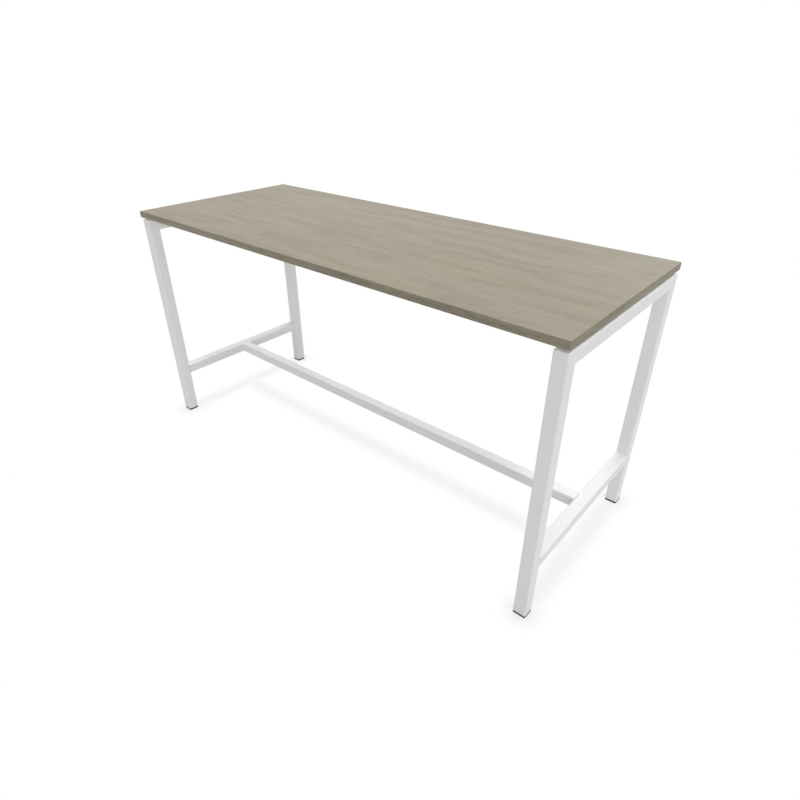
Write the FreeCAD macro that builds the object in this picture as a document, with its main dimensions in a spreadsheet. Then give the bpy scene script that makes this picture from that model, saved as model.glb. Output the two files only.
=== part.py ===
"""Standing meeting table.

A melamine faced board stands on two closed end frames of square steel tube. The frames are
joined by a stretcher between their foot rails and by two beams under the board. Spacers hold
the board clear of the steel, and every leg ends in a cap with a screw-out levelling foot.

Frame of the model: millimetres, X along the board, Y from front to back, Z up. The origin is
on the floor under the middle of the board.
"""
import FreeCAD, Part
import math
import os
import re
import Sketcher

SIZES = [
    # name, value, what it is
    ("TopLength", 2000, "board with its edge bands, left to right"),
    ("TopDepth", 787, "board with its edge bands, front to back"),
    ("TopThickness", 25.4, "board"),
    ("TableHeight", 995, "floor to worktop, levelling feet screwed in"),
    ("BandThickness", 2, "edge band"),
    ("BandRound", 1, "rounding of the edge band's outer edges"),
    ("FrameGap", 10, "open joint between steel and board, height of the spacers"),
    ("SideInset", 6, "board's long edge to the outer face of the legs"),
    ("LegTube", 45, "square tube of legs and cross tubes, outer width"),
    ("TubeWall", 2, "wall of every tube"),
    ("TubeCorner", 4, "outer corner radius of every tube"),
    ("FootRailTop", 242.5, "floor to the top of foot rails and stretcher"),
    ("FootRailHeight", 40, "foot rail, outer height"),
    ("StretcherWidth", 45, "stretcher, front to back"),
    ("StretcherHeight", 40, "stretcher, outer height"),
    ("BeamWidth", 45, "beam, front to back"),
    ("BeamHeight", 40, "beam, outer height"),
    ("BeamInset", 190, "board's long edge to the middle of a beam"),
    ("PlateThickness", 5, "end plate of a beam"),
    ("PlateMargin", 12, "end plate's edge to the middle of its bolt"),
    ("PlateCorner", 4, "corner radius of an end plate"),
    ("BoltOffset", 36, "middle of a beam to the middle of its bolts"),
    ("BoltRadius", 4, "M8 bolt, half its diameter"),
    ("BoltLength", 20, "M8 bolt under its head"),
    ("BoltHeadRadius", 7.5, "hexagon head, middle to corner"),
    ("BoltHeadHeight", 5.3, "hexagon head"),
    ("BoltBevel", 1.2, "hexagon head's corner to the start of its bevel"),
    ("WasherRadius", 8, "washer, half its diameter"),
    ("WasherThickness", 1.6, "washer"),
    ("BushRadius", 6, "threaded bush in a cross tube, half its diameter"),
    ("BushLength", 15, "threaded bush"),
    ("ScrewRadius", 3, "M6 board screw, half its diameter"),
    ("ScrewBite", 12, "depth of a board screw in its insert"),
    ("ScrewHeadRadius", 6, "button head of a board screw"),
    ("ScrewHeadHeight", 3.3, "button head of a board screw"),
    ("ScrewSocket", 2.3, "hexagon socket of a board screw, middle to corner"),
    ("SocketDepth", 2, "hexagon socket"),
    ("HeadRound", 1.5, "rounding of the button heads"),
    ("InsertRadius", 5, "threaded insert in the board, half its diameter"),
    ("InsertLength", 13, "threaded insert"),
    ("InsertSpare", 1, "air above a threaded insert"),
    ("SpacerRadius", 10, "spacer under the board, half its diameter"),
    ("FrameScrewInset", 32, "leg to the middle of the nearest board screw"),
    ("BeamScrewPitch", 400, "board screws along a beam"),
    ("SpigotLength", 60, "spigot that carries an end of the stretcher"),
    ("SpigotWall", 4, "wall of the spigot"),
    ("SpigotPlay", 0.5, "air between spigot and stretcher, each side"),
    ("SpigotScrewInset", 18, "foot rail to the middle of the nearest spigot screw"),
    ("SpigotScrewPitch", 28, "spigot screws along the stretcher"),
    ("SpigotScrewSpare", 2, "end of a spigot screw past the spigot's wall"),
    ("SpigotHeadRadius", 7, "button head of a spigot screw"),
    ("SpigotHeadHeight", 4.4, "button head of a spigot screw"),
    ("SpigotSocket", 2.9, "hexagon socket of a spigot screw, middle to corner"),
    ("FootHeight", 8, "visible rim of the foot cap under the leg"),
    ("FootBevel", 0.6, "bevel of the foot cap's lower edge"),
    ("PlugHeight", 22, "foot cap inside the leg"),
    ("PlugPlay", 0.3, "air between foot cap and leg, each side"),
    ("PlugCorner", 3, "corner radius of the foot cap's plug"),
    ("NutRadius", 7, "threaded bush in the foot cap, half its diameter"),
    ("NutLength", 12, "threaded bush in the foot cap"),
    ("PadRadius", 15, "levelling pad, half its diameter"),
    ("PadThickness", 4.4, "levelling pad"),
    ("PadRound", 0.8, "rounding of the levelling pad's lower edge"),
    ("PadPlay", 0.5, "air round the levelling pad in its recess"),
    ("PadLift", 0.3, "air over the levelling pad in its recess"),
    ("PadFloor", 1.2, "levelling pad under the stem's flange"),
    ("PadHole", 3.4, "hole in the pad's floor for the hexagon key, half its diameter"),
    ("StemRadius", 4, "M8 stem of the levelling foot, half its diameter"),
    ("StemFlange", 6, "flange at the stem's foot, half its diameter"),
    ("FlangeHeight", 1.6, "flange at the stem's foot"),
    ("FlangeAir", 0.1, "air over the flange in the pad"),
    ("StemSocket", 2.9, "hexagon socket in the stem's foot, middle to corner"),
    ("StemSocketDepth", 4, "hexagon socket in the stem's foot"),
    ("StemBevel", 0.8, "bevel at the stem's upper end"),
    ("StemSpare", 3, "stem above its bush when the foot is screwed out"),
    ("FootTravel", 10, "how far a levelling foot screws out"),
    ("RoundFit", 0.05, "radial air between a thread and what holds it"),
    ("HoleFit", 0.4, "radial air round a screw in a plain hole"),
]

# Lengths that follow from the sizes above.
DERIVED = {
    "FrameTop": "(TableHeight - TopThickness - FrameGap)",
    "FrameDepth": "(TopDepth - 2 * SideInset)",
    "LegHeight": "(TableHeight - TopThickness - FrameGap - FootHeight)",
    "LegX": "(TopLength / 2 - LegTube / 2)",
    "LegY": "(TopDepth / 2 - SideInset - LegTube / 2)",
    "RailDepth": "(TopDepth - 2 * SideInset - 2 * LegTube)",
    "InnerX": "(TopLength / 2 - LegTube)",
    "BeamY": "(TopDepth / 2 - BeamInset)",
    "BoltZ": "(TableHeight - TopThickness - FrameGap - BeamHeight / 2)",
    "FrameScrewY": "(TopDepth / 2 - SideInset - LegTube - FrameScrewInset)",
    "BoardBottom": "(TableHeight - TopThickness)",
    "StretcherBottom": "(FootRailTop - StretcherHeight)",
    "InnerCorner": "(TubeCorner - TubeWall)",
    "PlugWidth": "(LegTube - 2 * TubeWall - 2 * PlugPlay)",
    "CapTop": "(FootHeight + PlugHeight)",
}

MITRE_SPARE = 5  # how far a mitre's cutting triangle reaches past the tube
HEAD_SLOPE = math.sqrt(3)  # a hexagon head is bevelled at 30 degrees to its face
BEAM_STEPS = (-1.5, -0.5, 0.5, 1.5)  # a beam's board screws, in pitches from its middle
TOUCH = 1e-6  # places that are nearer than this are the same

doc = FreeCAD.newDocument("StandingMeetingTable")
sheet = doc.addObject("Spreadsheet::Sheet", "Sizes")
for row, (name, value, meaning) in enumerate(SIZES, start=1):
    sheet.set(f"A{row}", meaning)
    sheet.set(f"B{row}", str(value))
    sheet.setAlias(f"B{row}", name)
doc.recompute()

parts = []  # the finished sub-parts, one STEP file each


def expression(text):
    """Turn the words of SIZES and DERIVED in text into cells of the sheet."""
    for word, meaning in DERIVED.items():
        text = re.sub(rf"\b{word}\b", meaning, text)
    return re.sub(r"\b([A-Z]\w+)\b", r"Sizes.\1", text)


def bind(item, prop, text):
    item.setExpression(prop, expression(text))


def place(item, x="0", y="0", z="0", turn=0, axis=(0, 0, 1)):
    """Put a sub-part at a bound place, turned by a fixed angle about axis."""
    turned = FreeCAD.Rotation(FreeCAD.Vector(*axis), turn)
    item.Placement = FreeCAD.Placement(FreeCAD.Vector(), turned)
    bind(item, "Placement.Base.x", x)
    bind(item, "Placement.Base.y", y)
    bind(item, "Placement.Base.z", z)


def keep(item, label):
    item.Label = label
    parts.append(item)
    return item


def signed(sign, text):
    return text if sign > 0 else f"-({text})"


# ---------------------------------------------------------------- sketch and feature helpers


def new_body(name):
    return doc.addObject("PartDesign::Body", name + "_body")


def new_sketch(body, plane, name, height="0"):
    """A sketch on an origin plane of the body, lifted along the plane's normal by height."""
    sketch = body.newObject("Sketcher::SketchObject", name)
    origin = [item for item in body.Origin.OriginFeatures if item.Role == plane]
    sketch.AttachmentSupport = [(origin[0], "")]
    sketch.MapMode = "FlatFace"
    bind(sketch, "AttachmentOffset.Base.z", height)
    return sketch


def limit(sketch, text, *constraint):
    """Add one dimension to the sketch and bind it."""
    number = sketch.addConstraint(Sketcher.Constraint(*constraint))
    bind(sketch, f"Constraints[{number}]", text)


def add_lines(sketch, corners):
    """A closed outline through the corners; returns the number of its first line."""
    first = sketch.GeometryCount
    count = len(corners)
    for number in range(count):
        start = FreeCAD.Vector(*corners[number], 0)
        end = FreeCAD.Vector(*corners[(number + 1) % count], 0)
        sketch.addGeometry(Part.LineSegment(start, end), False)
    for number in range(count):
        after = first + (number + 1) % count
        sketch.addConstraint(Sketcher.Constraint("Coincident", first + number, 2, after, 1))
    return first


def rectangle(sketch, width, height):
    """A rectangle round the sketch's origin."""
    first = add_lines(sketch, [(-1, -1), (1, -1), (1, 1), (-1, 1)])
    for number, way in enumerate(("Horizontal", "Vertical", "Horizontal", "Vertical")):
        sketch.addConstraint(Sketcher.Constraint(way, first + number))
    sketch.addConstraint(Sketcher.Constraint("Symmetric", first, 1, first + 2, 1, -1, 1))
    limit(sketch, width, "DistanceX", first, 1, first, 2, 2)
    limit(sketch, height, "DistanceY", first + 1, 1, first + 1, 2, 2)


def round_rectangle(sketch, width, height, corner):
    """A rectangle round the sketch's origin, with an arc at each corner."""
    first = sketch.GeometryCount
    quarter = math.pi / 2
    outline = [
        ((-2, -3), (2, -3)), ((2, -2), 3),
        ((3, -2), (3, 2)), ((2, 2), 0),
        ((2, 3), (-2, 3)), ((-2, 2), 1),
        ((-3, 2), (-3, -2)), ((-2, -2), 2),
    ]
    for start, end in outline:
        if isinstance(end, tuple):
            line = Part.LineSegment(FreeCAD.Vector(*start, 0), FreeCAD.Vector(*end, 0))
            sketch.addGeometry(line, False)
        else:
            circle = Part.Circle(FreeCAD.Vector(*start, 0), FreeCAD.Vector(0, 0, 1), 1)
            arc = Part.ArcOfCircle(circle, end * quarter, (end + 1) * quarter)
            sketch.addGeometry(arc, False)
    for line in range(0, 8, 2):
        arc = first + line + 1
        after = first + (line + 2) % 8
        sketch.addConstraint(Sketcher.Constraint("Tangent", first + line, 2, arc, 1))
        sketch.addConstraint(Sketcher.Constraint("Tangent", arc, 2, after, 1))
        way = "Horizontal" if line % 4 == 0 else "Vertical"
        sketch.addConstraint(Sketcher.Constraint(way, first + line))
    for arc in (3, 5, 7):
        sketch.addConstraint(Sketcher.Constraint("Equal", first + 1, first + arc))
    sketch.addConstraint(Sketcher.Constraint("Symmetric", first + 3, 3, first + 7, 3, -1, 1))
    limit(sketch, corner, "Radius", first + 1, 1)
    limit(sketch, width, "DistanceX", first + 6, 1, first + 2, 1, 6)
    limit(sketch, height, "DistanceY", first, 1, first + 4, 1, 6)


def circles(sketch, radius, middles):
    """Circles of one radius; each middle is a pair of bound distances from the origin."""
    first = sketch.GeometryCount
    for number, (across, along) in enumerate(middles):
        start = FreeCAD.Vector(10 * number + 5, 10 * number + 5, 0)
        sketch.addGeometry(Part.Circle(start, FreeCAD.Vector(0, 0, 1), 1), False)
        if number:
            sketch.addConstraint(Sketcher.Constraint("Equal", first, first + number))
        here = first + number
        if (across, along) == ("0", "0"):
            sketch.addConstraint(Sketcher.Constraint("Coincident", here, 3, -1, 1))
            continue
        for text, way, axis in ((across, "DistanceX", -2), (along, "DistanceY", -1)):
            if text == "0":
                sketch.addConstraint(Sketcher.Constraint("PointOnObject", here, 3, axis))
            else:
                limit(sketch, text, way, -1, 1, here, 3, 5)
    limit(sketch, radius, "Radius", first, 1)


def pad(body, sketch, length, midplane=False):
    feature = body.newObject("PartDesign::Pad", sketch.Name + "_pad")
    feature.Profile = sketch
    feature.Midplane = midplane
    bind(feature, "Length", length)
    body.Tip = feature
    return feature


def pocket(body, sketch, length=None, reverse=False):
    """Cut the sketch's outline: by length to one side, or right through without one."""
    before = volume_of(body)
    feature = body.newObject("PartDesign::Pocket", sketch.Name + "_pocket")
    feature.Profile = sketch
    if length is None:
        feature.Type = "ThroughAll"
        feature.Midplane = True
    else:
        feature.Reversed = reverse
        bind(feature, "Length", length)
    body.Tip = feature
    if not volume_of(body) < before:
        raise RuntimeError(f"{feature.Name} cuts nothing")
    return feature


def volume_of(item):
    doc.recompute()
    return item.Shape.Volume


def dress_edges(body, kind, prop, size, wanted):
    """Add a Fillet or a Chamfer to the body's edges whose middle is wanted."""
    doc.recompute()
    base = body.Tip
    names = []
    for number, edge in enumerate(base.Shape.Edges, start=1):
        if wanted(edge.CenterOfMass):
            names.append(f"Edge{number}")
    feature = body.newObject(f"PartDesign::{kind}", f"{body.Name}_{kind}")
    feature.Base = (base, names)
    bind(feature, prop, size)
    body.Tip = feature
    return feature


def fillet_where(body, radius, wanted):
    return dress_edges(body, "Fillet", "Radius", radius, wanted)


def bevel_where(body, size, wanted):
    return dress_edges(body, "Chamfer", "Size", size, wanted)


def tube(name, plane, width, height, length):
    """A square tube with rounded corners, its middle at the body's origin."""
    body = new_body(name)
    sketch = new_sketch(body, plane, name + "_section")
    round_rectangle(sketch, width, height, "TubeCorner")
    inner_width = f"{width} - 2 * TubeWall"
    inner_height = f"{height} - 2 * TubeWall"
    round_rectangle(sketch, inner_width, inner_height, "InnerCorner")
    pad(body, sketch, length, midplane=True)
    return body


def mitre(body, name, corners):
    """Cut 45 degree triangles in the YZ plane. Each corner is the right angle of one triangle:
    its place (y, z) as text, and the way (1 or -1) in which the triangle lies from it."""
    sketch = new_sketch(body, "YZ_Plane", name + "_mitre")
    side = f"LegTube + 2 * {MITRE_SPARE}"
    for y, z, way_y, way_z in corners:
        y0, z0 = -50 * way_y, -50 * way_z
        reach = [(y0, z0), (y0 + 9 * way_y, z0), (y0, z0 + 9 * way_z)]
        first = add_lines(sketch, reach)
        sketch.addConstraint(Sketcher.Constraint("Horizontal", first))
        sketch.addConstraint(Sketcher.Constraint("Vertical", first + 2))
        sketch.addConstraint(Sketcher.Constraint("Equal", first, first + 2))
        limit(sketch, side, "Distance", first, 9)
        limit(sketch, y, "DistanceX", -1, 1, first, 1, y0)
        limit(sketch, z, "DistanceY", -1, 1, first, 1, z0)
    pocket(body, sketch)


def ring(name, outer, inner, length):
    """A plain ring that stands on the origin."""
    body = new_body(name)
    sketch = new_sketch(body, "XY_Plane", name + "_section")
    circles(sketch, outer, [("0", "0")])
    circles(sketch, inner, [("0", "0")])
    pad(body, sketch, length)
    return body


def cylinder(name, radius, height, z="0"):
    item = doc.addObject("Part::Cylinder", name)
    bind(item, "Radius", radius)
    bind(item, "Height", height)
    bind(item, "Placement.Base.z", z)
    return item


def hexagon(name, corner, height, z="0"):
    item = doc.addObject("Part::Prism", name)
    item.Polygon = 6
    bind(item, "Circumradius", corner)
    bind(item, "Height", height)
    bind(item, "Placement.Base.z", z)
    return item


def join(kind, name, base, tool):
    item = doc.addObject(kind, name)
    item.Base = base
    item.Tool = tool
    return item


def group(label, master, places):
    """Copies of one small piece, each a solid of its own, in one sub-part."""
    copies = []
    for number, where in enumerate(places, start=1):
        copy = doc.addObject("App::Link", f"{label}_{number}")
        copy.LinkedObject = master
        place(copy, **where)
        copies.append(copy)
    compound = doc.addObject("Part::Compound", label + "_set")
    compound.Links = copies
    return keep(compound, label)


# ------------------------------------------------------------------------------ the board


def board_screw_places():
    """Where a screw holds the board: three on each end frame and four on each beam."""
    on_frames = []
    on_beams = []
    for side in (-1, 1):
        for y in ("-FrameScrewY", "0", "FrameScrewY"):
            on_frames.append((signed(side, "LegX"), y))
        for step in BEAM_STEPS:
            on_beams.append((f"{step} * BeamScrewPitch", signed(side, "BeamY")))
    return on_frames, on_beams


def table_top():
    body = new_body("board")
    sketch = new_sketch(body, "XY_Plane", "board_outline")
    rectangle(sketch, "TopLength - 2 * BandThickness", "TopDepth - 2 * BandThickness")
    pad(body, sketch, "TopThickness")
    on_frames, on_beams = board_screw_places()
    holes = new_sketch(body, "XY_Plane", "board_holes")
    circles(holes, "InsertRadius + RoundFit", on_frames + on_beams)
    pocket(body, holes, "InsertLength + InsertSpare", reverse=True)
    place(body, z="BoardBottom")
    keep(body, "table_top")


def long_edge_band(label, side):
    """The band on a long edge covers the ends of the bands on the short edges too."""
    body = new_body(label)
    sketch = new_sketch(body, "YZ_Plane", label + "_section")
    rectangle(sketch, "BandThickness", "TopThickness")
    pad(body, sketch, "TopLength", midplane=True)
    half = sheet.TopLength / 2
    inner = sheet.BandThickness / 2

    def outer_edge(middle):
        at_end = abs(abs(middle.x) - half) < TOUCH and abs(middle.y - inner) > TOUCH
        return at_end or abs(middle.y + inner) < TOUCH

    fillet_where(body, "BandRound", outer_edge)
    offset = "TopDepth / 2 - BandThickness / 2"
    middle = "BoardBottom + TopThickness / 2"
    place(body, y=signed(side, offset), z=middle, turn=180 if side > 0 else 0)
    keep(body, label)


def short_edge_band(label, side):
    body = new_body(label)
    sketch = new_sketch(body, "XZ_Plane", label + "_section")
    rectangle(sketch, "BandThickness", "TopThickness")
    pad(body, sketch, "TopDepth - 2 * BandThickness", midplane=True)
    outer = -sheet.BandThickness / 2

    def outer_edge(middle):
        return abs(middle.x - outer) < TOUCH and abs(middle.y) < TOUCH

    fillet_where(body, "BandRound", outer_edge)
    offset = "TopLength / 2 - BandThickness / 2"
    middle = "BoardBottom + TopThickness / 2"
    place(body, x=signed(side, offset), z=middle, turn=180 if side > 0 else 0)
    keep(body, label)


# ------------------------------------------------------------------------- the end frames


def leg(label, side_x, side_y):
    """A leg with a straight foot and a mitred head that falls towards the table's middle."""
    body = new_body(label)
    sketch = new_sketch(body, "XY_Plane", label + "_section")
    round_rectangle(sketch, "LegTube", "LegTube", "TubeCorner")
    inner = "LegTube - 2 * TubeWall"
    round_rectangle(sketch, inner, inner, "InnerCorner")
    pad(body, sketch, "LegHeight")
    corner = (f"LegTube / 2 + {MITRE_SPARE}", f"LegHeight + {MITRE_SPARE}", -1, -1)
    mitre(body, label, [corner])
    turn = 180 if side_y > 0 else 0
    place(body, signed(side_x, "LegX"), signed(side_y, "LegY"), "FootHeight", turn)
    keep(body, label)


def cross_tube(label, side):
    """The tube under the board, mitred into both legs. Its threaded holes face inwards."""
    body = tube(label, "XZ_Plane", "LegTube", "LegTube", "FrameDepth")
    reach = f"FrameDepth / 2 + {MITRE_SPARE}"
    floor = f"-LegTube / 2 - {MITRE_SPARE}"
    mitre(body, label, [(f"-({reach})", floor, 1, 1), (reach, floor, -1, 1)])
    screws = new_sketch(body, "XY_Plane", label + "_screw_holes")
    places = [("0", "-FrameScrewY"), ("0", "0"), ("0", "FrameScrewY")]
    circles(screws, "ScrewRadius + HoleFit", places)
    pocket(body, screws)
    bushes = new_sketch(body, "YZ_Plane", label + "_bush_holes")
    level = "LegTube / 2 - BeamHeight / 2"
    middles = []
    for beam in (-1, 1):
        for bolt in (-1, 1):
            middles.append((f"{beam} * BeamY + {bolt} * BoltOffset", level))
    circles(bushes, "BushRadius + RoundFit", middles)
    pocket(body, bushes, "LegTube / 2", reverse=True)
    turn = 180 if side > 0 else 0
    place(body, signed(side, "LegX"), z="FrameTop - LegTube / 2", turn=turn)
    keep(body, label)


def foot_rail(label, side):
    body = tube(label, "XZ_Plane", "LegTube", "FootRailHeight", "RailDepth")
    place(body, signed(side, "LegX"), z="FootRailTop - FootRailHeight / 2")
    keep(body, label)


# ------------------------------------------------------------------ stretcher and beams


def stretcher():
    body = tube("stretcher", "YZ_Plane", "StretcherWidth", "StretcherHeight", "2 * InnerX")
    holes = new_sketch(body, "XY_Plane", "stretcher_holes")
    near = "InnerX - SpigotScrewInset"
    far = "InnerX - SpigotScrewInset - SpigotScrewPitch"
    middles = [(signed(side, text), "0") for side in (-1, 1) for text in (near, far)]
    circles(holes, "BoltRadius + HoleFit", middles)
    pocket(body, holes, "StretcherHeight / 2")
    place(body, z="FootRailTop - StretcherHeight / 2")
    keep(body, "stretcher")


def spigot(label, side):
    """A short tube, welded to the foot rail, that fills the end of the stretcher."""
    body = new_body(label)
    sketch = new_sketch(body, "YZ_Plane", label + "_section")
    shrink = "2 * TubeWall - 2 * SpigotPlay"
    width = f"StretcherWidth - {shrink}"
    height = f"StretcherHeight - {shrink}"
    round_rectangle(sketch, width, height, "InnerCorner")
    rectangle(sketch, f"{width} - 2 * SpigotWall", f"{height} - 2 * SpigotWall")
    pad(body, sketch, "SpigotLength")
    holes = new_sketch(body, "XY_Plane", label + "_holes")
    middles = [("SpigotScrewInset", "0"), ("SpigotScrewInset + SpigotScrewPitch", "0")]
    circles(holes, "BoltRadius + RoundFit", middles)
    pocket(body, holes, "StretcherHeight / 2")
    turn = 180 if side > 0 else 0
    place(body, signed(side, "InnerX"), z="FootRailTop - StretcherHeight / 2", turn=turn)
    keep(body, label)


def beam(label, side):
    length = "2 * InnerX - 2 * PlateThickness"
    body = tube(label, "YZ_Plane", "BeamWidth", "BeamHeight", length)
    holes = new_sketch(body, "XY_Plane", label + "_holes")
    middles = [(f"{step} * BeamScrewPitch", "0") for step in BEAM_STEPS]
    circles(holes, "ScrewRadius + HoleFit", middles)
    pocket(body, holes)
    place(body, y=signed(side, "BeamY"), z="BoltZ")
    keep(body, label)


def end_plate(label, side_x, side_y):
    """A flat plate, welded to the end of a beam and bolted to the cross tube."""
    body = new_body(label)
    sketch = new_sketch(body, "YZ_Plane", label + "_outline")
    length = "2 * BoltOffset + 2 * PlateMargin"
    round_rectangle(sketch, length, "BeamHeight", "PlateCorner")
    circles(sketch, "BoltRadius + HoleFit", [("-BoltOffset", "0"), ("BoltOffset", "0")])
    pad(body, sketch, "PlateThickness")
    turn = 180 if side_x > 0 else 0
    place(body, signed(side_x, "InnerX"), signed(side_y, "BeamY"), "BoltZ", turn)
    keep(body, label)


# -------------------------------------------------------------------------- fasteners


def button_screw(name, radius, length, head_radius, head_height, socket):
    """A screw that stands on its head: the head hangs under the origin, the shank rises."""
    head = cylinder(name + "_head", head_radius, head_height, f"-({head_height})")
    shank = cylinder(name + "_shank", radius, length)
    blank = join("Part::Fuse", name + "_blank", head, shank)
    rounded = doc.addObject("Part::Fillet", name + "_rounded")
    rounded.Base = blank
    doc.recompute()
    lowest = blank.Shape.BoundBox.ZMin
    rim = []
    for number, edge in enumerate(blank.Shape.Edges, start=1):
        if abs(edge.BoundBox.ZMax - lowest) < TOUCH:
            rim.append((number, sheet.HeadRound, sheet.HeadRound))
    rounded.Edges = rim
    hole = hexagon(name + "_socket", socket, "SocketDepth", f"-({head_height})")
    return join("Part::Cut", name, rounded, hole)


def board_fasteners():
    on_frames, on_beams = board_screw_places()
    insert = ring("insert", "InsertRadius", "ScrewRadius + RoundFit", "InsertLength")
    spacer = ring("spacer", "SpacerRadius", "ScrewRadius + HoleFit", "FrameGap")
    every = on_frames + on_beams
    group("top_inserts", insert, [{"x": x, "y": y, "z": "BoardBottom"} for x, y in every])
    group("top_spacers", spacer, [{"x": x, "y": y, "z": "FrameTop"} for x, y in every])
    for label, tall, places in (
        ("frame_to_top_screws", "LegTube", on_frames),
        ("beam_to_top_screws", "BeamHeight", on_beams),
    ):
        length = f"{tall} + FrameGap + ScrewBite"
        head = ("ScrewHeadRadius", "ScrewHeadHeight", "ScrewSocket")
        screw = button_screw(label + "_one", "ScrewRadius", length, *head)
        level = f"FrameTop - {tall}"
        group(label, screw, [{"x": x, "y": y, "z": level} for x, y in places])


def beam_fasteners():
    """Bolts, washers and threaded bushes, lying along X at both ends of both beams."""
    blank = hexagon("bolt_blank", "BoltHeadRadius", "BoltHeadHeight", "-BoltHeadHeight")
    bevel = doc.addObject("Part::Cone", "bolt_bevel")
    bind(bevel, "Radius1", "BoltHeadRadius - BoltBevel")
    bind(bevel, "Radius2", f"BoltHeadRadius - BoltBevel + {HEAD_SLOPE} * BoltHeadHeight")
    bind(bevel, "Height", "BoltHeadHeight")
    bind(bevel, "Placement.Base.z", "-BoltHeadHeight")
    head = join("Part::Common", "bolt_head", blank, bevel)
    shank = cylinder("bolt_shank", "BoltRadius", "BoltLength")
    bolt = join("Part::Fuse", "bolt", head, shank)
    washer = ring("washer", "WasherRadius", "BoltRadius + HoleFit", "WasherThickness")
    bush = ring("bush", "BushRadius", "BoltRadius + RoundFit", "BushLength")
    ends = {"bolt": [], "washer": [], "bush": []}
    stations = {
        "bolt": "InnerX - PlateThickness - WasherThickness",
        "washer": "InnerX - PlateThickness - WasherThickness",
        "bush": "InnerX",
    }
    for side in (-1, 1):
        for row in (-1, 1):
            for hole in (-1, 1):
                y = f"{row} * BeamY + {hole} * BoltOffset"
                for kind, station in stations.items():
                    where = {"x": signed(side, station), "y": y, "z": "BoltZ"}
                    where.update(turn=90 * side, axis=(0, 1, 0))
                    ends[kind].append(where)
    group("beam_bolts", bolt, ends["bolt"])
    group("beam_washers", washer, ends["washer"])
    group("beam_bushes", bush, ends["bush"])


def spigot_screws():
    length = "TubeWall + SpigotPlay + SpigotWall + SpigotScrewSpare"
    head = ("SpigotHeadRadius", "SpigotHeadHeight", "SpigotSocket")
    screw = button_screw("spigot_screw", "BoltRadius", length, *head)
    places = []
    for side in (-1, 1):
        for step in ("0", "SpigotScrewPitch"):
            x = signed(side, f"InnerX - SpigotScrewInset - {step}")
            places.append({"x": x, "z": "StretcherBottom"})
    group("stretcher_screws", screw, places)


# --------------------------------------------------------------------------------- feet


def foot_cap(label, x, y):
    """A rim as wide as the leg, a plug inside the leg, and a recess for the pad."""
    body = new_body(label)
    rim = new_sketch(body, "XY_Plane", label + "_rim")
    round_rectangle(rim, "LegTube", "LegTube", "TubeCorner")
    pad(body, rim, "FootHeight")
    bevel_where(body, "FootBevel", lambda middle: abs(middle.z) < TOUCH)
    plug = new_sketch(body, "XY_Plane", label + "_plug")
    round_rectangle(plug, "PlugWidth", "PlugWidth", "PlugCorner")
    pad(body, plug, "CapTop")
    recess = new_sketch(body, "XY_Plane", label + "_recess")
    circles(recess, "PadRadius + PadPlay", [("0", "0")])
    pocket(body, recess, "PadThickness + PadLift", reverse=True)
    bore = new_sketch(body, "XY_Plane", label + "_bore")
    circles(bore, "StemRadius + HoleFit", [("0", "0")])
    pocket(body, bore)
    seat = new_sketch(body, "XY_Plane", label + "_seat", "CapTop")
    circles(seat, "NutRadius + RoundFit", [("0", "0")])
    pocket(body, seat, "NutLength")
    place(body, x, y)
    keep(body, label)


def levelling_pad(label, x, y):
    """A disc that holds the stem's flange in a closed pocket, so that the stem turns in it."""
    body = new_body(label)
    disc = new_sketch(body, "XY_Plane", label + "_disc")
    circles(disc, "PadRadius", [("0", "0")])
    pad(body, disc, "PadThickness")
    fillet_where(body, "PadRound", lambda middle: abs(middle.z) < TOUCH)
    floor = new_sketch(body, "XY_Plane", label + "_key_hole")
    circles(floor, "PadHole", [("0", "0")])
    pocket(body, floor)
    room = new_sketch(body, "XY_Plane", label + "_flange_room", "PadFloor")
    circles(room, "StemFlange + RoundFit", [("0", "0")])
    pocket(body, room, "FlangeHeight + FlangeAir", reverse=True)
    neck = new_sketch(body, "XY_Plane", label + "_neck", "PadThickness")
    circles(neck, "StemRadius + RoundFit", [("0", "0")])
    pocket(body, neck, "PadThickness - PadFloor - FlangeHeight - FlangeAir / 2")
    place(body, x, y)
    keep(body, label)


def levelling_stem(label, x, y):
    """A threaded rod on a flange, with a hexagon socket that is reached through the pad."""
    flange = cylinder(label + "_flange", "StemFlange", "FlangeHeight")
    rod = cylinder(label + "_rod", "StemRadius", "CapTop + FootTravel + StemSpare - PadFloor")
    blank = join("Part::Fuse", label + "_blank", flange, rod)
    bevelled = doc.addObject("Part::Chamfer", label + "_bevelled")
    bevelled.Base = blank
    doc.recompute()
    top = blank.Shape.BoundBox.ZMax
    for number, edge in enumerate(blank.Shape.Edges, start=1):
        if edge.BoundBox.ZMin > top - TOUCH:
            bevelled.Edges = [(number, sheet.StemBevel, sheet.StemBevel)]
    socket = hexagon(label + "_socket", "StemSocket", "StemSocketDepth")
    stem = join("Part::Cut", label + "_stem", bevelled, socket)
    place(stem, x, y, "PadFloor")
    keep(stem, label)


def feet():
    places = []
    for side_x, left_right in ((-1, "left"), (1, "right")):
        for side_y, front_back in ((-1, "front"), (1, "back")):
            corner = f"{left_right}_{front_back}"
            x = signed(side_x, "LegX")
            y = signed(side_y, "LegY")
            foot_cap(corner + "_foot_cap", x, y)
            levelling_pad(corner + "_levelling_pad", x, y)
            levelling_stem(corner + "_levelling_stem", x, y)
            places.append({"x": x, "y": y, "z": "CapTop - NutLength"})
    bush = ring("foot_bush", "NutRadius", "StemRadius + RoundFit", "NutLength")
    group("foot_bushes", bush, places)


# ------------------------------------------------------------------------------ assembly


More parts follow.
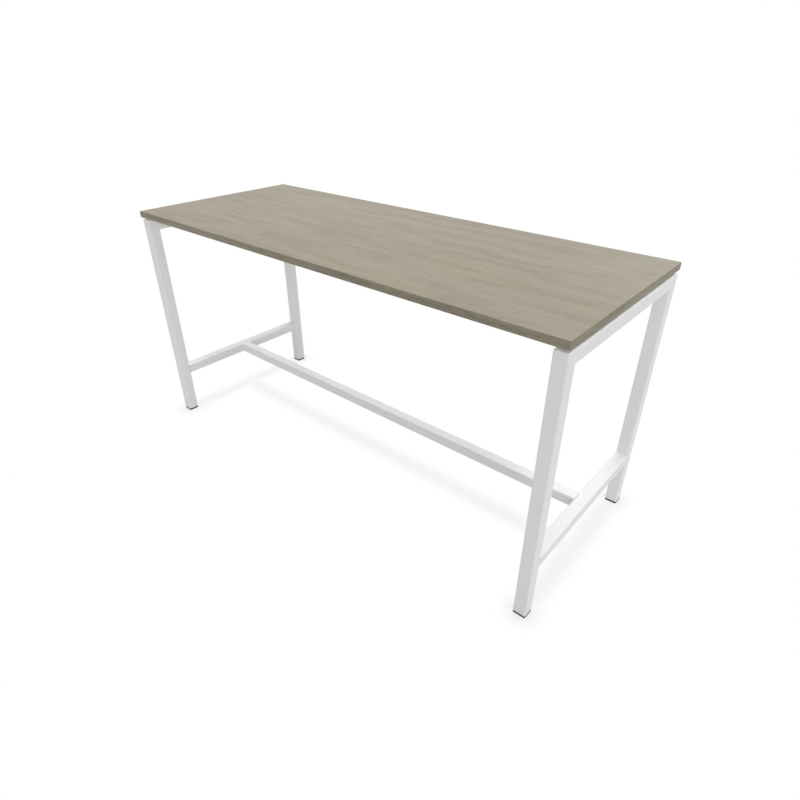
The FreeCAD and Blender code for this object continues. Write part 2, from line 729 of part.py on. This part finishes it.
def build():
    table_top()
    for side, label in ((-1, "edge_band_front"), (1, "edge_band_back")):
        long_edge_band(label, side)
    for side, label in ((-1, "edge_band_left"), (1, "edge_band_right")):
        short_edge_band(label, side)
    for side, name in ((-1, "left"), (1, "right")):
        leg(name + "_front_leg", side, -1)
        leg(name + "_back_leg", side, 1)
        cross_tube(name + "_cross_tube", side)
        foot_rail(name + "_foot_rail", side)
        spigot(name + "_stretcher_spigot", side)
        for side_y, row in ((-1, "front"), (1, "back")):
            end_plate(f"{row}_beam_{name}_plate", side, side_y)
    stretcher()
    beam("front_beam", -1)
    beam("back_beam", 1)
    board_fasteners()
    beam_fasteners()
    spigot_screws()
    feet()
    doc.recompute()


def write():
    for item in doc.Objects:
        faults = {"Invalid", "Error"} & set(item.State)
        if faults:
            raise RuntimeError(f"{item.Name} ({item.Label}) failed: {item.State}")
    for item in parts:
        if item.Shape.isNull() or not item.Shape.isValid():
            raise RuntimeError(f"{item.Label} has no valid shape")
    os.makedirs("parts", exist_ok=True)
    whole = FreeCAD.BoundBox()
    for item in parts:
        shape = item.Shape
        shape.exportStep(f"parts/{item.Label}.step")
        whole.add(shape.BoundBox)
        print(f"{item.Label:28s} solids {len(shape.Solids):2d}  {shape.Volume:12.1f} mm3")
    overall = f"{whole.XLength:.1f} x {whole.YLength:.1f} x {whole.ZLength:.1f} mm"
    print(f"{len(parts)} sub-parts, overall {overall}")


build()
write()
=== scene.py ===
"""Looks of the standing meeting table: finishes, threads, welds, floor, light and camera.

Metres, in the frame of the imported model: X along the board, Y from front to back, Z up, and
the origin on the floor under the middle of the board.
"""
import math

import bmesh
import bpy
from mathutils import Euler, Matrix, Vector


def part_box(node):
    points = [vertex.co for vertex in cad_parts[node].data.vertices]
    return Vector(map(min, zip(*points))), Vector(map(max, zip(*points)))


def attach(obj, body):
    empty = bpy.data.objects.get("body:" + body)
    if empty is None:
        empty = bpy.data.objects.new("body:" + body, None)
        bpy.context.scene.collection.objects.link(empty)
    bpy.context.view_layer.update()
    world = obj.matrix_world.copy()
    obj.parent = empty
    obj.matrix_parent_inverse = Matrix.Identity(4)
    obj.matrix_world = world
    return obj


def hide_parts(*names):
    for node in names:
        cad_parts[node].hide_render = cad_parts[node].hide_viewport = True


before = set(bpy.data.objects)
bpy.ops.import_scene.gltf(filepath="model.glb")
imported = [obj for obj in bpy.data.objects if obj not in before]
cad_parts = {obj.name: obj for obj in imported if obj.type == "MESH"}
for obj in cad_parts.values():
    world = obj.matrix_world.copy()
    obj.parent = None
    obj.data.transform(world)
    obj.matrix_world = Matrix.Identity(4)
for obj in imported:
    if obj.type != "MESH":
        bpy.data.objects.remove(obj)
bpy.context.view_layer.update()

scene = bpy.context.scene

TABLE = "table"         # the body that everything but the levelling feet rides on


# ------------------------------------------------------------------------------- camera

CAMERA_PLACE = (1.4811, -1.5717, 1.5678)
CAMERA_TURN = (58.760, 0.0, 40.568)     # degrees
CAMERA_SENSOR = 36                      # width in millimetres
CAMERA_LENS = 25.588                    # millimetres


def make_camera():
    data = bpy.data.cameras.new("camera")
    data.sensor_width = CAMERA_SENSOR
    data.lens = CAMERA_LENS
    camera = bpy.data.objects.new("camera", data)
    camera.location = CAMERA_PLACE
    camera.rotation_euler = Euler([math.radians(angle) for angle in CAMERA_TURN])
    scene.collection.objects.link(camera)
    scene.camera = camera


# ------------------------------------------------------------------- nodes of a material

BEVEL_SAMPLES = 6
SHARP_EDGE = 0.85       # cosine between the rounded and the plain normal on a sharp edge


def srgb(red, green, blue):
    """A colour given as on a screen, 0 to 255, as the linear colour that shaders use."""
    linear = []
    for value in (red, green, blue):
        share = value / 255
        linear.append(share / 12.92 if share <= 0.04045 else ((share + 0.055) / 1.055) ** 2.4)
    return (*linear, 1.0)


class Nodes:
    """A node tree with short calls for the nodes that the finishes are made of."""

    def __init__(self, tree):
        self.tree = tree

    def add(self, kind, **settings):
        node = self.tree.nodes.new(kind)
        for name, value in settings.items():
            setattr(node, name, value)
        return node

    def put(self, socket, value):
        """Link value to the socket if it comes from a node, and write it there otherwise."""
        if isinstance(value, bpy.types.NodeSocket):
            self.tree.links.new(value, socket)
        elif isinstance(value, tuple):
            socket.default_value = value[:len(socket.default_value)]
        else:
            socket.default_value = value

    def math(self, operation, first, second=0.0):
        node = self.add("ShaderNodeMath", operation=operation)
        self.put(node.inputs[0], first)
        self.put(node.inputs[1], second)
        return node.outputs[0]

    def total(self, *values):
        result = values[0]
        for value in values[1:]:
            result = self.math("ADD", result, value)
        return result

    def stretch(self, where, scale, shift=(0.0, 0.0, 0.0)):
        node = self.add("ShaderNodeMapping")
        self.put(node.inputs["Vector"], where)
        node.inputs["Location"].default_value = shift
        node.inputs["Scale"].default_value = scale
        return node.outputs[0]

    def noise(self, where, detail):
        """Soft noise, one cell per unit, from about 0.2 to 0.8 and 0.5 on average."""
        node = self.add("ShaderNodeTexNoise")
        self.put(node.inputs["Vector"], where)
        node.inputs["Scale"].default_value = 1.0
        node.inputs["Detail"].default_value = detail
        return node.outputs[0]

    def ramp(self, value, low, high, to_low=0.0, to_high=1.0):
        """Smooth step from to_low, where value is low, to to_high, where it is high."""
        node = self.add("ShaderNodeMapRange", interpolation_type="SMOOTHSTEP")
        self.put(node.inputs["Value"], value)
        node.inputs["From Min"].default_value = low
        node.inputs["From Max"].default_value = high
        node.inputs["To Min"].default_value = to_low
        node.inputs["To Max"].default_value = to_high
        return node.outputs[0]

    def swing(self, value, amount):
        """Noise round 0.5 turned into a change round 0, amount at most either way."""
        return self.math("MULTIPLY", self.math("SUBTRACT", value, 0.5), 2 * amount)

    def blend(self, share, first, second):
        node = self.add("ShaderNodeMix", data_type="RGBA")
        self.put(node.inputs[0], share)
        self.put(node.inputs[6], first)
        self.put(node.inputs[7], second)
        return node.outputs[2]

    def shade(self, colour, factor):
        """The colour made lighter or darker by factor."""
        node = self.add("ShaderNodeVectorMath", operation="SCALE")
        self.put(node.inputs[0], colour)
        self.put(node.inputs["Scale"], factor)
        return node.outputs[0]

    def bump(self, height, depth, under=None):
        """Relief of height times depth, in metres, on top of another relief."""
        node = self.add("ShaderNodeBump")
        node.inputs["Strength"].default_value = 1.0
        node.inputs["Distance"].default_value = depth
        self.put(node.inputs["Height"], height)
        if under is not None:
            self.put(node.inputs["Normal"], under)
        return node.outputs[0]

    def place(self):
        """Where a point lies on its own object, in metres."""
        return self.add("ShaderNodeTexCoord").outputs["Object"]

    def grains(self, place, per_metre, detail):
        """Soft noise with as many cells per metre every way."""
        return self.noise(self.stretch(place, (per_metre,) * 3), detail)

    def upward(self):
        """How far the surface faces up: 1 is straight up, and -1 straight down."""
        node = self.add("ShaderNodeSeparateXYZ")
        self.put(node.inputs[0], self.add("ShaderNodeNewGeometry").outputs["Normal"])
        return node.outputs[2]

    def edges(self, radius):
        """About 1 on sharp edges, falling to 0 a radius away from them."""
        rounded = self.add("ShaderNodeBevel", samples=BEVEL_SAMPLES)
        rounded.inputs["Radius"].default_value = radius
        plain = self.add("ShaderNodeNewGeometry")
        node = self.add("ShaderNodeVectorMath", operation="DOT_PRODUCT")
        self.put(node.inputs[0], rounded.outputs[0])
        self.put(node.inputs[1], plain.outputs["Normal"])
        return self.ramp(node.outputs["Value"], 1.0, SHARP_EDGE)


def new_material(name):
    """A material, its node calls and its Principled shader."""
    material = bpy.data.materials.new(name)
    material.use_nodes = True
    return material, Nodes(material.node_tree), material.node_tree.nodes["Principled BSDF"]


# ------------------------------------------------------------------------------ finishes

OAK_GREEN = srgb(148, 141, 120)         # the board's two tones, which drift into each other
OAK_PINK = srgb(152, 140, 124.5)
LONG_BAND_PAINTED_LIGHT = srgb(147, 140, 123)         # painted light and shade on the edge bands' faces: a lighter copy of the print along X, a darker one along Y
SHORT_BAND_PAINTED_SHADE = srgb(139, 132.5, 113.5)
BAND_CONTRAST = 1.8                     # the bands' grain is stronger than the board's
BACKER = srgb(232, 231, 227)            # the balancing sheet under the board
WHITE_COAT = srgb(240, 240, 240)
NATURAL_NYLON = srgb(226, 226, 222)
BLACK_POLYAMIDE = srgb(9, 9, 10)
COLD_ZINC = srgb(196, 199, 204)
WARM_ZINC = srgb(212, 210, 200)

MELAMINE_ROUGHNESS = 0.46
MELAMINE_GLOSS = 0.18
COAT_ROUGHNESS = 0.42
ZINC_ROUGHNESS = 0.34

# Depths of the reliefs, in metres
PEARL_DEPTH = 0.000012
PORE_DEPTH = 0.00004
PEEL_DEPTH = 0.00003
GRIT_DEPTH = 0.000008
MOULD_DEPTH = 0.00004
SCRATCH_DEPTH = 0.000015


def oak_grain(nodes, along, contrast=1.0):
    """Printed grain along axis 0 (X) or 1 (Y): a light factor, the tone's share and the pores.

    Each layer is soft noise with so many cells per metre along the grain and across it. A
    shift of its own keeps it apart from the others.
    """
    place = nodes.place()

    def layer(lengthwise, crosswise, detail, shift=0.0):
        scale = [crosswise] * 3
        scale[along] = lengthwise
        return nodes.noise(nodes.stretch(place, scale, (shift,) * 3), detail)

    patches = nodes.ramp(layer(2.8, 21, 2.0), 0.36, 0.60)
    drift = layer(0.7, 7, 1.0, shift=3.1)
    streaks = layer(6, 75, 3.0, shift=5.7)
    flecks = layer(34, 150, 2.0, shift=7.2)
    lights = nodes.ramp(layer(5.5, 90, 1.0, shift=8.3), 0.62, 0.78)
    fibres = layer(26, 800, 2.0, shift=1.9)
    pores = nodes.ramp(layer(75, 1900, 1.0, shift=4.4), 0.62, 0.74)
    pores = nodes.math("MULTIPLY", pores, nodes.ramp(streaks, 0.65, 0.35, 0.15, 1.0))
    factor = nodes.total(
        nodes.ramp(patches, 0.0, 1.0, 0.92, 1.025),
        nodes.swing(drift, 0.055),
        nodes.swing(streaks, 0.08),
        nodes.swing(flecks, 0.16),
        nodes.math("MULTIPLY", lights, 0.045),
        nodes.swing(fibres, 0.05),
        nodes.math("MULTIPLY", pores, -0.10),
    )
    factor = nodes.math("POWER", factor, contrast)
    tone = nodes.ramp(layer(1.3, 9, 1.0, shift=6.6), 0.35, 0.65)
    return factor, tone, pores


def melamine(nodes, shader, colour, pores):
    """The board's hard matt face, pressed with pores that follow the print."""
    place = nodes.place()
    haze = nodes.grains(place, 6, 3.0)
    pearl = nodes.grains(place, 1800, 1.0)
    roughness = nodes.total(
        nodes.swing(haze, 0.05), nodes.math("MULTIPLY", pores, 0.12), MELAMINE_ROUGHNESS)
    nodes.put(shader.inputs["Base Color"], colour)
    nodes.put(shader.inputs["Roughness"], roughness)
    shader.inputs["Specular IOR Level"].default_value = MELAMINE_GLOSS
    relief = nodes.bump(pearl, PEARL_DEPTH)
    relief = nodes.bump(nodes.math("SUBTRACT", 1.0, pores), PORE_DEPTH, relief)
    nodes.put(shader.inputs["Normal"], relief)


def board_oak():
    """Oak print on top, and the plain white balancing sheet that such boards have below."""
    material, nodes, shader = new_material("grey_oak_board")
    factor, tone, pores = oak_grain(nodes, 0)
    oak = nodes.shade(nodes.blend(tone, OAK_GREEN, OAK_PINK), factor)
    underside = nodes.ramp(nodes.upward(), -0.4, -0.6)
    melamine(nodes, shader, nodes.blend(underside, oak, BACKER), pores)
    return material


def band_oak(along):
    """The edge band: its face in a painted shade, and in the board's lighter tone where it faces
    up, as painted light.
    """
    material, nodes, shader = new_material("grey_oak_band_" + "xy"[along])
    factor, tone, pores = oak_grain(nodes, along, BAND_CONTRAST)
    # painted light: faces turned up, as on the rounded top edge, get the board's lighter tone,
    # the rest the face's painted shade
    rounded = nodes.ramp(nodes.upward(), 0.25, 0.85)
    board = nodes.blend(tone, OAK_GREEN, OAK_PINK)
    # the lighter face tone along X and the darker one along Y are painted light and painted
    # shade
    face = (LONG_BAND_PAINTED_LIGHT, SHORT_BAND_PAINTED_SHADE)[along]
    colour = nodes.shade(nodes.blend(rounded, face, board), factor)
    melamine(nodes, shader, colour, pores)
    return material


def powder_coat():
    """White powder coat: a fine orange peel, a little thinner and duller along sharp edges."""
    material, nodes, shader = new_material("white_powder_coat")
    place = nodes.place()
    clouds = nodes.grains(place, 7, 3.0)
    peel = nodes.grains(place, 420, 2.0)
    grit = nodes.grains(place, 2600, 1.0)
    worn = nodes.math("MULTIPLY", nodes.edges(0.0015), nodes.ramp(peel, 0.35, 0.65))
    factor = nodes.total(
        nodes.swing(clouds, 0.012), nodes.swing(grit, 0.02),
        nodes.math("MULTIPLY", worn, -0.05), 1.0)
    nodes.put(shader.inputs["Base Color"], nodes.shade(WHITE_COAT, factor))
    roughness = nodes.total(
        nodes.swing(clouds, 0.05), nodes.math("MULTIPLY", worn, 0.1), COAT_ROUGHNESS)
    nodes.put(shader.inputs["Roughness"], roughness)
    relief = nodes.bump(peel, PEEL_DEPTH)
    nodes.put(shader.inputs["Normal"], nodes.bump(grit, GRIT_DEPTH, relief))
    return material


def moulded_plastic(name, colour, roughness, gloss):
    """Injection moulded plastic with a spark-eroded grain and rubbed edges."""
    material, nodes, shader = new_material(name)
    place = nodes.place()
    grain = nodes.grains(place, 1500, 2.0)
    clouds = nodes.grains(place, 60, 2.0)
    rubbed = nodes.edges(0.0008)
    factor = nodes.total(
        nodes.swing(grain, 0.12), nodes.swing(clouds, 0.06),
        nodes.math("MULTIPLY", rubbed, 0.25), 1.0)
    nodes.put(shader.inputs["Base Color"], nodes.shade(colour, factor))
    roughness = nodes.total(
        nodes.swing(clouds, 0.08), nodes.math("MULTIPLY", rubbed, -0.1), roughness)
    nodes.put(shader.inputs["Roughness"], roughness)
    shader.inputs["Specular IOR Level"].default_value = gloss
    nodes.put(shader.inputs["Normal"], nodes.bump(grain, MOULD_DEPTH))
    return material


def zinc_plate():
    """Bright zinc plating: metal with faint clouds, fine scratches and duller edges."""
    material, nodes, shader = new_material("zinc_plated_steel")
    place = nodes.place()
    clouds = nodes.grains(place, 180, 3.0)
    scratches = nodes.noise(nodes.stretch(place, (4000, 700, 700)), 2.0)
    worn = nodes.edges(0.0005)
    zinc = nodes.blend(clouds, COLD_ZINC, WARM_ZINC)
    factor = nodes.total(
        nodes.swing(scratches, 0.06), nodes.math("MULTIPLY", worn, -0.12), 1.0)
    nodes.put(shader.inputs["Base Color"], nodes.shade(zinc, factor))
    shader.inputs["Metallic"].default_value = 1.0
    roughness = nodes.total(
        nodes.swing(clouds, 0.12), nodes.swing(scratches, 0.06), ZINC_ROUGHNESS)
    nodes.put(shader.inputs["Roughness"], roughness)
    nodes.put(shader.inputs["Normal"], nodes.bump(scratches, SCRATCH_DEPTH))
    return material


def dress_nodes():
    """Give each node of the model the finish of its material slot, and return the finishes."""
    # the bands along X and along Y differ only by painted light and painted shade on their faces
    along_x, along_y = band_oak(0), band_oak(1)
    by_slot = {
        "board_oak": board_oak(),
        "white_steel": powder_coat(),
        "spacer_plastic": moulded_plastic(
            "spacer_nylon", NATURAL_NYLON, roughness=0.5, gloss=0.5),
        "black_plastic": moulded_plastic(
            "black_polyamide", BLACK_POLYAMIDE, roughness=0.6, gloss=0.05),
        "zinc_steel": zinc_plate(),
    }
    for name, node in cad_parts.items():
        slot = node.data.materials[0].name
        if slot == "edge_oak":
            finish = along_x if name.endswith(("front", "back")) else along_y
        else:
            finish = by_slot[slot]
        node.data.materials[0] = finish
    return by_slot


# ----------------------------------------------------------------------- threaded stems

CORNERS = [f"{side}_{row}" for side in ("left", "right") for row in ("front", "back")]
STEM_RADIUS = 0.004
STEM_FLANGE = 0.0016    # height of the flange at the stem's foot
STEM_BEVEL = 0.0008     # bevel at its upper end
KEY_CORNER = 0.0029     # hexagon socket, middle to corner
KEY_DEPTH = 0.004
THREAD_PITCH = 0.00125
THREAD_STEPS = 32       # straight pieces in a turn of the thread
THREAD_SPARE = 2        # turns below the thread's lower end, and above its upper one
THREAD_ROOT = STEM_RADIUS - 0.00077
THREAD_OUTLINE = (  # how far up a pitch, and the radius there
    (0.0, THREAD_ROOT), (0.25, THREAD_ROOT), (0.5625, STEM_RADIUS), (0.6875, STEM_RADIUS))
STEM_SMOOTH = 35        # degrees: flatter edges than this are shaded smooth
TINY = 1e-6


def ring(build, radius, height, count):
    """The corners of a regular polygon round the Z axis."""
    corners = []
    for number in range(count):
        turn = 2 * math.pi * number / count
        place = (radius * math.cos(turn), radius * math.sin(turn), height)
        corners.append(build.verts.new(place))
    return corners


def wall(build, lower, upper):
    for number, corner in enumerate(lower):
        after = (number + 1) % len(lower)
        build.faces.new((corner, lower[after], upper[after], upper[number]))


def fill_level(build, height):
    """Close the mesh at a height with flat triangles between the open edges there."""
    rim = []
    for edge in build.edges:
        level = all(abs(corner.co.z - height) < TINY for corner in edge.verts)
        if edge.is_boundary and level:
            rim.append(edge)
    bmesh.ops.triangle_fill(build, use_beauty=True, edges=rim)


def cut_level(build, height, keep_above):
    everything = build.verts[:] + build.edges[:] + build.faces[:]
    bmesh.ops.bisect_plane(
        build, geom=everything, dist=TINY / 10, plane_co=(0, 0, height), plane_no=(0, 0, 1),
        clear_inner=keep_above, clear_outer=not keep_above)


def thread(build, low, high):
    """The flanks of a right-hand thread round Z, bevelled at its upper end."""
    rows = []
    turns = math.ceil((high - low) / THREAD_PITCH + 2 * THREAD_SPARE)
    for step in range(turns * THREAD_STEPS):
        turn = 2 * math.pi * step / THREAD_STEPS
        row = []
        for share, radius in THREAD_OUTLINE:
            height = low + (step / THREAD_STEPS - THREAD_SPARE + share) * THREAD_PITCH
            radius = min(radius, max(high - height, 0) + STEM_RADIUS - STEM_BEVEL)
            place = (radius * math.cos(turn), radius * math.sin(turn), height)
            row.append(build.verts.new(place))
        rows.append(row)
    for step in range(len(rows) - THREAD_STEPS - 1):
        here = rows[step] + [rows[step + THREAD_STEPS][0]]
        after = rows[step + 1] + [rows[step + 1 + THREAD_STEPS][0]]
        for side in range(len(THREAD_OUTLINE)):
            build.faces.new((here[side], after[side], after[side + 1], here[side + 1]))
    cut_level(build, low, keep_above=True)
    cut_level(build, high, keep_above=False)
    fill_level(build, high)


def finish_piece(name, build, slot, body, smooth_below):
    """Make the object, with edges above an angle in degrees kept sharp, and give it its body."""
    bmesh.ops.recalc_face_normals(build, faces=build.faces)
    mesh = bpy.data.meshes.new(name)
    build.to_mesh(mesh)
    build.free()
    mesh.shade_smooth()
    mesh.set_sharp_from_angle(angle=math.radians(smooth_below))
    piece = bpy.data.objects.new(name, mesh)
    mesh.materials.append(finishes[slot])
    scene.collection.objects.link(piece)
    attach(piece, body)
    return piece


def make_stem(corner):
    """A screw-out foot's stem with its real thread, flange and hexagon socket."""
    node = corner + "_levelling_stem"
    low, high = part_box(node)
    flange = (high[0] - low[0]) / 2
    build = bmesh.new()
    thread(build, STEM_FLANGE, high[2] - low[2])
    rim = ring(build, flange, 0, 2 * THREAD_STEPS)
    wall(build, rim, ring(build, flange, STEM_FLANGE, 2 * THREAD_STEPS))
    fill_level(build, STEM_FLANGE)
    socket_end = ring(build, KEY_CORNER, KEY_DEPTH, 6)
    wall(build, ring(build, KEY_CORNER, 0, 6), socket_end)
    build.faces.new(socket_end)
    fill_level(build, 0)
    piece = finish_piece(
        corner + "_threaded_stem", build, "zinc_steel", corner + "_stem", STEM_SMOOTH)
    piece.location = ((low[0] + high[0]) / 2, (low[1] + high[1]) / 2, low[2])
    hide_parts(node)


# -------------------------------------------------------------------------------- welds

TUBE_CORNER = 0.004     # outer corner radius of the tubes
WELD_SIZE = 0.0036      # how far a bead reaches along each of its two faces
WELD_BULGE = 0.35       # 0 is a flat bead, 1 a round one
WELD_SINK = 0.0003      # how deep its back lies in the steel
WELD_RIPPLE = 0.0017    # from one ripple to the next
WELD_END = 0.004        # how far its ends fall away
END_SIZE = 0.2          # size of the very end, as a share
RIPPLE_HEIGHT = 0.04    # as a share of the bead's size
RIPPLE_LEAD = 0.6       # how far the ripples' middles run ahead, in ripples
RIPPLE_STEPS = 6        # rows of corners in a ripple
BEAD_STEPS = 8          # faces over the bead's round
WELD_SMOOTH = 60        # degrees, as for the stems


def bead(build, start, end, first, second):
    """A fillet weld from start to end, in the corner between two faces.

    first and second point away from the corner, each along one of the faces.
    """
    start, end, first, second = map(Vector, (start, end, first, second))
    length = (end - start).length
    count = round(length / WELD_RIPPLE) * RIPPLE_STEPS
    rows = []
    for step in range(count + 1):
        along = length * step / count
        near_end = min(along, length - along) / WELD_END
        full = math.sqrt(max(1 - (1 - min(near_end, 1)) ** 2, END_SIZE ** 2))
        middle = start.lerp(end, step / count)
        row = [
            middle - (first + second) * WELD_SINK,
            middle + first * WELD_SIZE * full - second * WELD_SINK]
        for part in range(BEAD_STEPS + 1):
            turn = math.pi / 2 * part / BEAD_STEPS
            flat = 1 / (math.cos(turn) + math.sin(turn))
            lead = RIPPLE_LEAD * WELD_RIPPLE * math.sin(2 * turn)
            ripple = math.cos(2 * math.pi * (along - lead) / WELD_RIPPLE)
            bulge = flat + (1 - flat) * WELD_BULGE + RIPPLE_HEIGHT * ripple
            size = WELD_SIZE * full * bulge
            row.append(middle + first * size * math.cos(turn) + second * size * math.sin(turn))
        row.append(middle + second * WELD_SIZE * full - first * WELD_SINK)
        rows.append([build.verts.new(place) for place in row])
    for here, after in zip(rows, rows[1:]):
        wall(build, here, after)
    build.faces.new(rows[0])
    build.faces.new(rows[-1])


def frame_welds(side):
    """Beads under the foot rail's ends and in the inner corners under the cross tube."""
    build = bmesh.new()
    rail_low, rail_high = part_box(side + "_foot_rail")
    cross_low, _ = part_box(side + "_cross_tube")
    left, right = rail_low[0] + TUBE_CORNER, rail_high[0] - TUBE_CORNER
    for y, inward in ((rail_low[1], 1), (rail_high[1], -1)):
        for z in (rail_low[2], cross_low[2]):
            bead(build, (left, y, z), (right, y, z), (0, inward, 0), (0, 0, -1))
    finish_piece(side + "_frame_welds", build, "white_steel", TABLE, WELD_SMOOTH)


def beam_welds(row):
    """Upright beads on both sides of a beam at its end plates."""
    build = bmesh.new()
    low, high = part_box(row + "_beam")
    bottom, top = low[2] + TUBE_CORNER, high[2] - TUBE_CORNER
    for x, inward in ((low[0], 1), (high[0], -1)):
        for y, outward in ((low[1], -1), (high[1], 1)):
            bead(build, (x, y, bottom), (x, y, top), (0, outward, 0), (inward, 0, 0))
    finish_piece(row + "_beam_welds", build, "white_steel", TABLE, WELD_SMOOTH)


# ------------------------------------------------------------------------ floor and light

FLOOR_SIZE = 60.0
FLOOR_BOUNCE = 0.65     # the floor's own pale grey, which lights the object from below
FOOT_REACH = 0.07       # how far a foot's own shade on the floor reaches
FOOT_SHADE = 0.40       # how dark it gets where the foot meets the floor
RAIL_REACH = 0.075      # how far the shade under a low tube reaches from its middle
RAIL_SHADE = 0.097      # how dark that shade is
SHADE_SAMPLES = 16
WORLD_LEVEL = 0.43      # light from all round, as a white face sends it back
LAMPS = (  # name, azimuth, elevation, spread and level, as soft_lamp takes them
    ("lamp_top", -12, 69, 24, 0.28),
    ("lamp_front", -49, 18, 35, 0.172),
    ("lamp_back", 90, 34, 40, 0.30),
    ("lamp_left", 135, 42, 35, 0.16))


def seen_directly(nodes):
    """1 for rays from the camera and rays that metal or glass sends on, else 0.

    The second value is 1 for rays from the camera alone.
    """
    path = nodes.add("ShaderNodeLightPath").outputs
    seen = nodes.math("MAXIMUM", path["Is Camera Ray"], path["Is Glossy Ray"])
    return nodes.math("MAXIMUM", seen, path["Is Transmission Ray"]), path["Is Camera Ray"]


def shade_under(nodes, node):
    """The soft shade on the floor under a low tube that lies along X or Y."""
    low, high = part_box(node)
    width = min(high[0] - low[0], high[1] - low[1])
    place = nodes.add("ShaderNodeSeparateXYZ")
    nodes.put(place.inputs[0], nodes.add("ShaderNodeNewGeometry").outputs["Position"])
    away = []
    for axis in (0, 1):
        middle = (low[axis] + high[axis]) / 2
        reach = (high[axis] - low[axis] - width) / 2
        offset = nodes.math("ABSOLUTE", nodes.math("SUBTRACT", place.outputs[axis], middle))
        offset = nodes.math("MAXIMUM", nodes.math("SUBTRACT", offset, reach), 0.0)
        away.append(nodes.math("MULTIPLY", offset, offset))
    distance = nodes.math("SQRT", nodes.math("ADD", *away))
    return nodes.ramp(distance, 0.0, RAIL_REACH, 1 - RAIL_SHADE, 1.0)


def floor_material():
    """Pale grey for the light that it sends up, and white with the object's shade to see.

    It is open from below, so that the underside can be looked at.
    """
    material = bpy.data.materials.new("floor")
    material.use_nodes = True
    material.node_tree.nodes.clear()
    nodes = Nodes(material.node_tree)

    def mix(share, first, second):
        node = nodes.add("ShaderNodeMixShader")
        nodes.put(node.inputs[0], share)
        nodes.put(node.inputs[1], first)
        nodes.put(node.inputs[2], second)
        return node.outputs[0]

    near = nodes.add("ShaderNodeAmbientOcclusion", samples=SHADE_SAMPLES)
    near.inputs["Distance"].default_value = FOOT_REACH
    shade = nodes.total(nodes.math("MULTIPLY", near.outputs["AO"], FOOT_SHADE), 1 - FOOT_SHADE)
    for tube in ("left_foot_rail", "right_foot_rail", "stretcher"):
        shade = nodes.math("MINIMUM", shade, shade_under(nodes, tube))
    white = nodes.add("ShaderNodeEmission")
    nodes.put(white.inputs["Strength"], shade)
    grey = nodes.add("ShaderNodeBsdfDiffuse")
    grey.inputs["Color"].default_value = (FLOOR_BOUNCE, FLOOR_BOUNCE, FLOOR_BOUNCE, 1)
    seen, by_camera = seen_directly(nodes)
    below = nodes.add("ShaderNodeNewGeometry").outputs["Backfacing"]
    open_side = nodes.math("MULTIPLY", below, by_camera)
    clear = nodes.add("ShaderNodeBsdfTransparent")
    surface = mix(seen, grey.outputs[0], white.outputs[0])
    output = nodes.add("ShaderNodeOutputMaterial")
    nodes.put(output.inputs["Surface"], mix(open_side, surface, clear.outputs[0]))
    return material


def make_floor():
    mesh = bpy.data.meshes.new("floor")
    build = bmesh.new()
    bmesh.ops.create_grid(build, x_segments=1, y_segments=1, size=FLOOR_SIZE / 2)
    build.to_mesh(mesh)
    build.free()
    floor = bpy.data.objects.new("floor", mesh)
    floor.data.materials.append(floor_material())
    scene.collection.objects.link(floor)


def make_world():
    """A plain studio all round, and white wherever it is seen directly or in a reflection."""
    world = bpy.data.worlds.new("studio")
    world.use_nodes = True
    scene.world = world
    nodes = Nodes(world.node_tree)
    seen, _ = seen_directly(nodes)
    level = nodes.ramp(seen, 0.0, 1.0, WORLD_LEVEL, 1.0)
    background = world.node_tree.nodes["Background"]
    background.inputs["Color"].default_value = (1, 1, 1, 1)
    nodes.put(background.inputs["Strength"], level)


def soft_lamp(name, azimuth, elevation, spread, level):
    """A wide soft lamp far off. Azimuth 0 is +X and 90 is +Y; spread is its width, in degrees.

    A white face turned to it sends back level.
    """
    data = bpy.data.lights.new(name, "SUN")
    data.angle = math.radians(spread)
    data.energy = level * math.pi
    lamp = bpy.data.objects.new(name, data)
    turn, rise = math.radians(azimuth), math.radians(elevation)
    way = Vector((
        math.cos(turn) * math.cos(rise), math.sin(turn) * math.cos(rise), math.sin(rise)))
    lamp.rotation_mode = "QUATERNION"
    lamp.rotation_quaternion = (-way).to_track_quat("-Z", "Y")
    scene.collection.objects.link(lamp)


make_camera()
finishes = dress_nodes()
for corner in CORNERS:
    make_stem(corner)
for side in ("left", "right"):
    frame_welds(side)
for row in ("front", "back"):
    beam_welds(row)
make_floor()
make_world()
for lamp in LAMPS:
    soft_lamp(*lamp)
scene.view_settings.view_transform = "Standard"
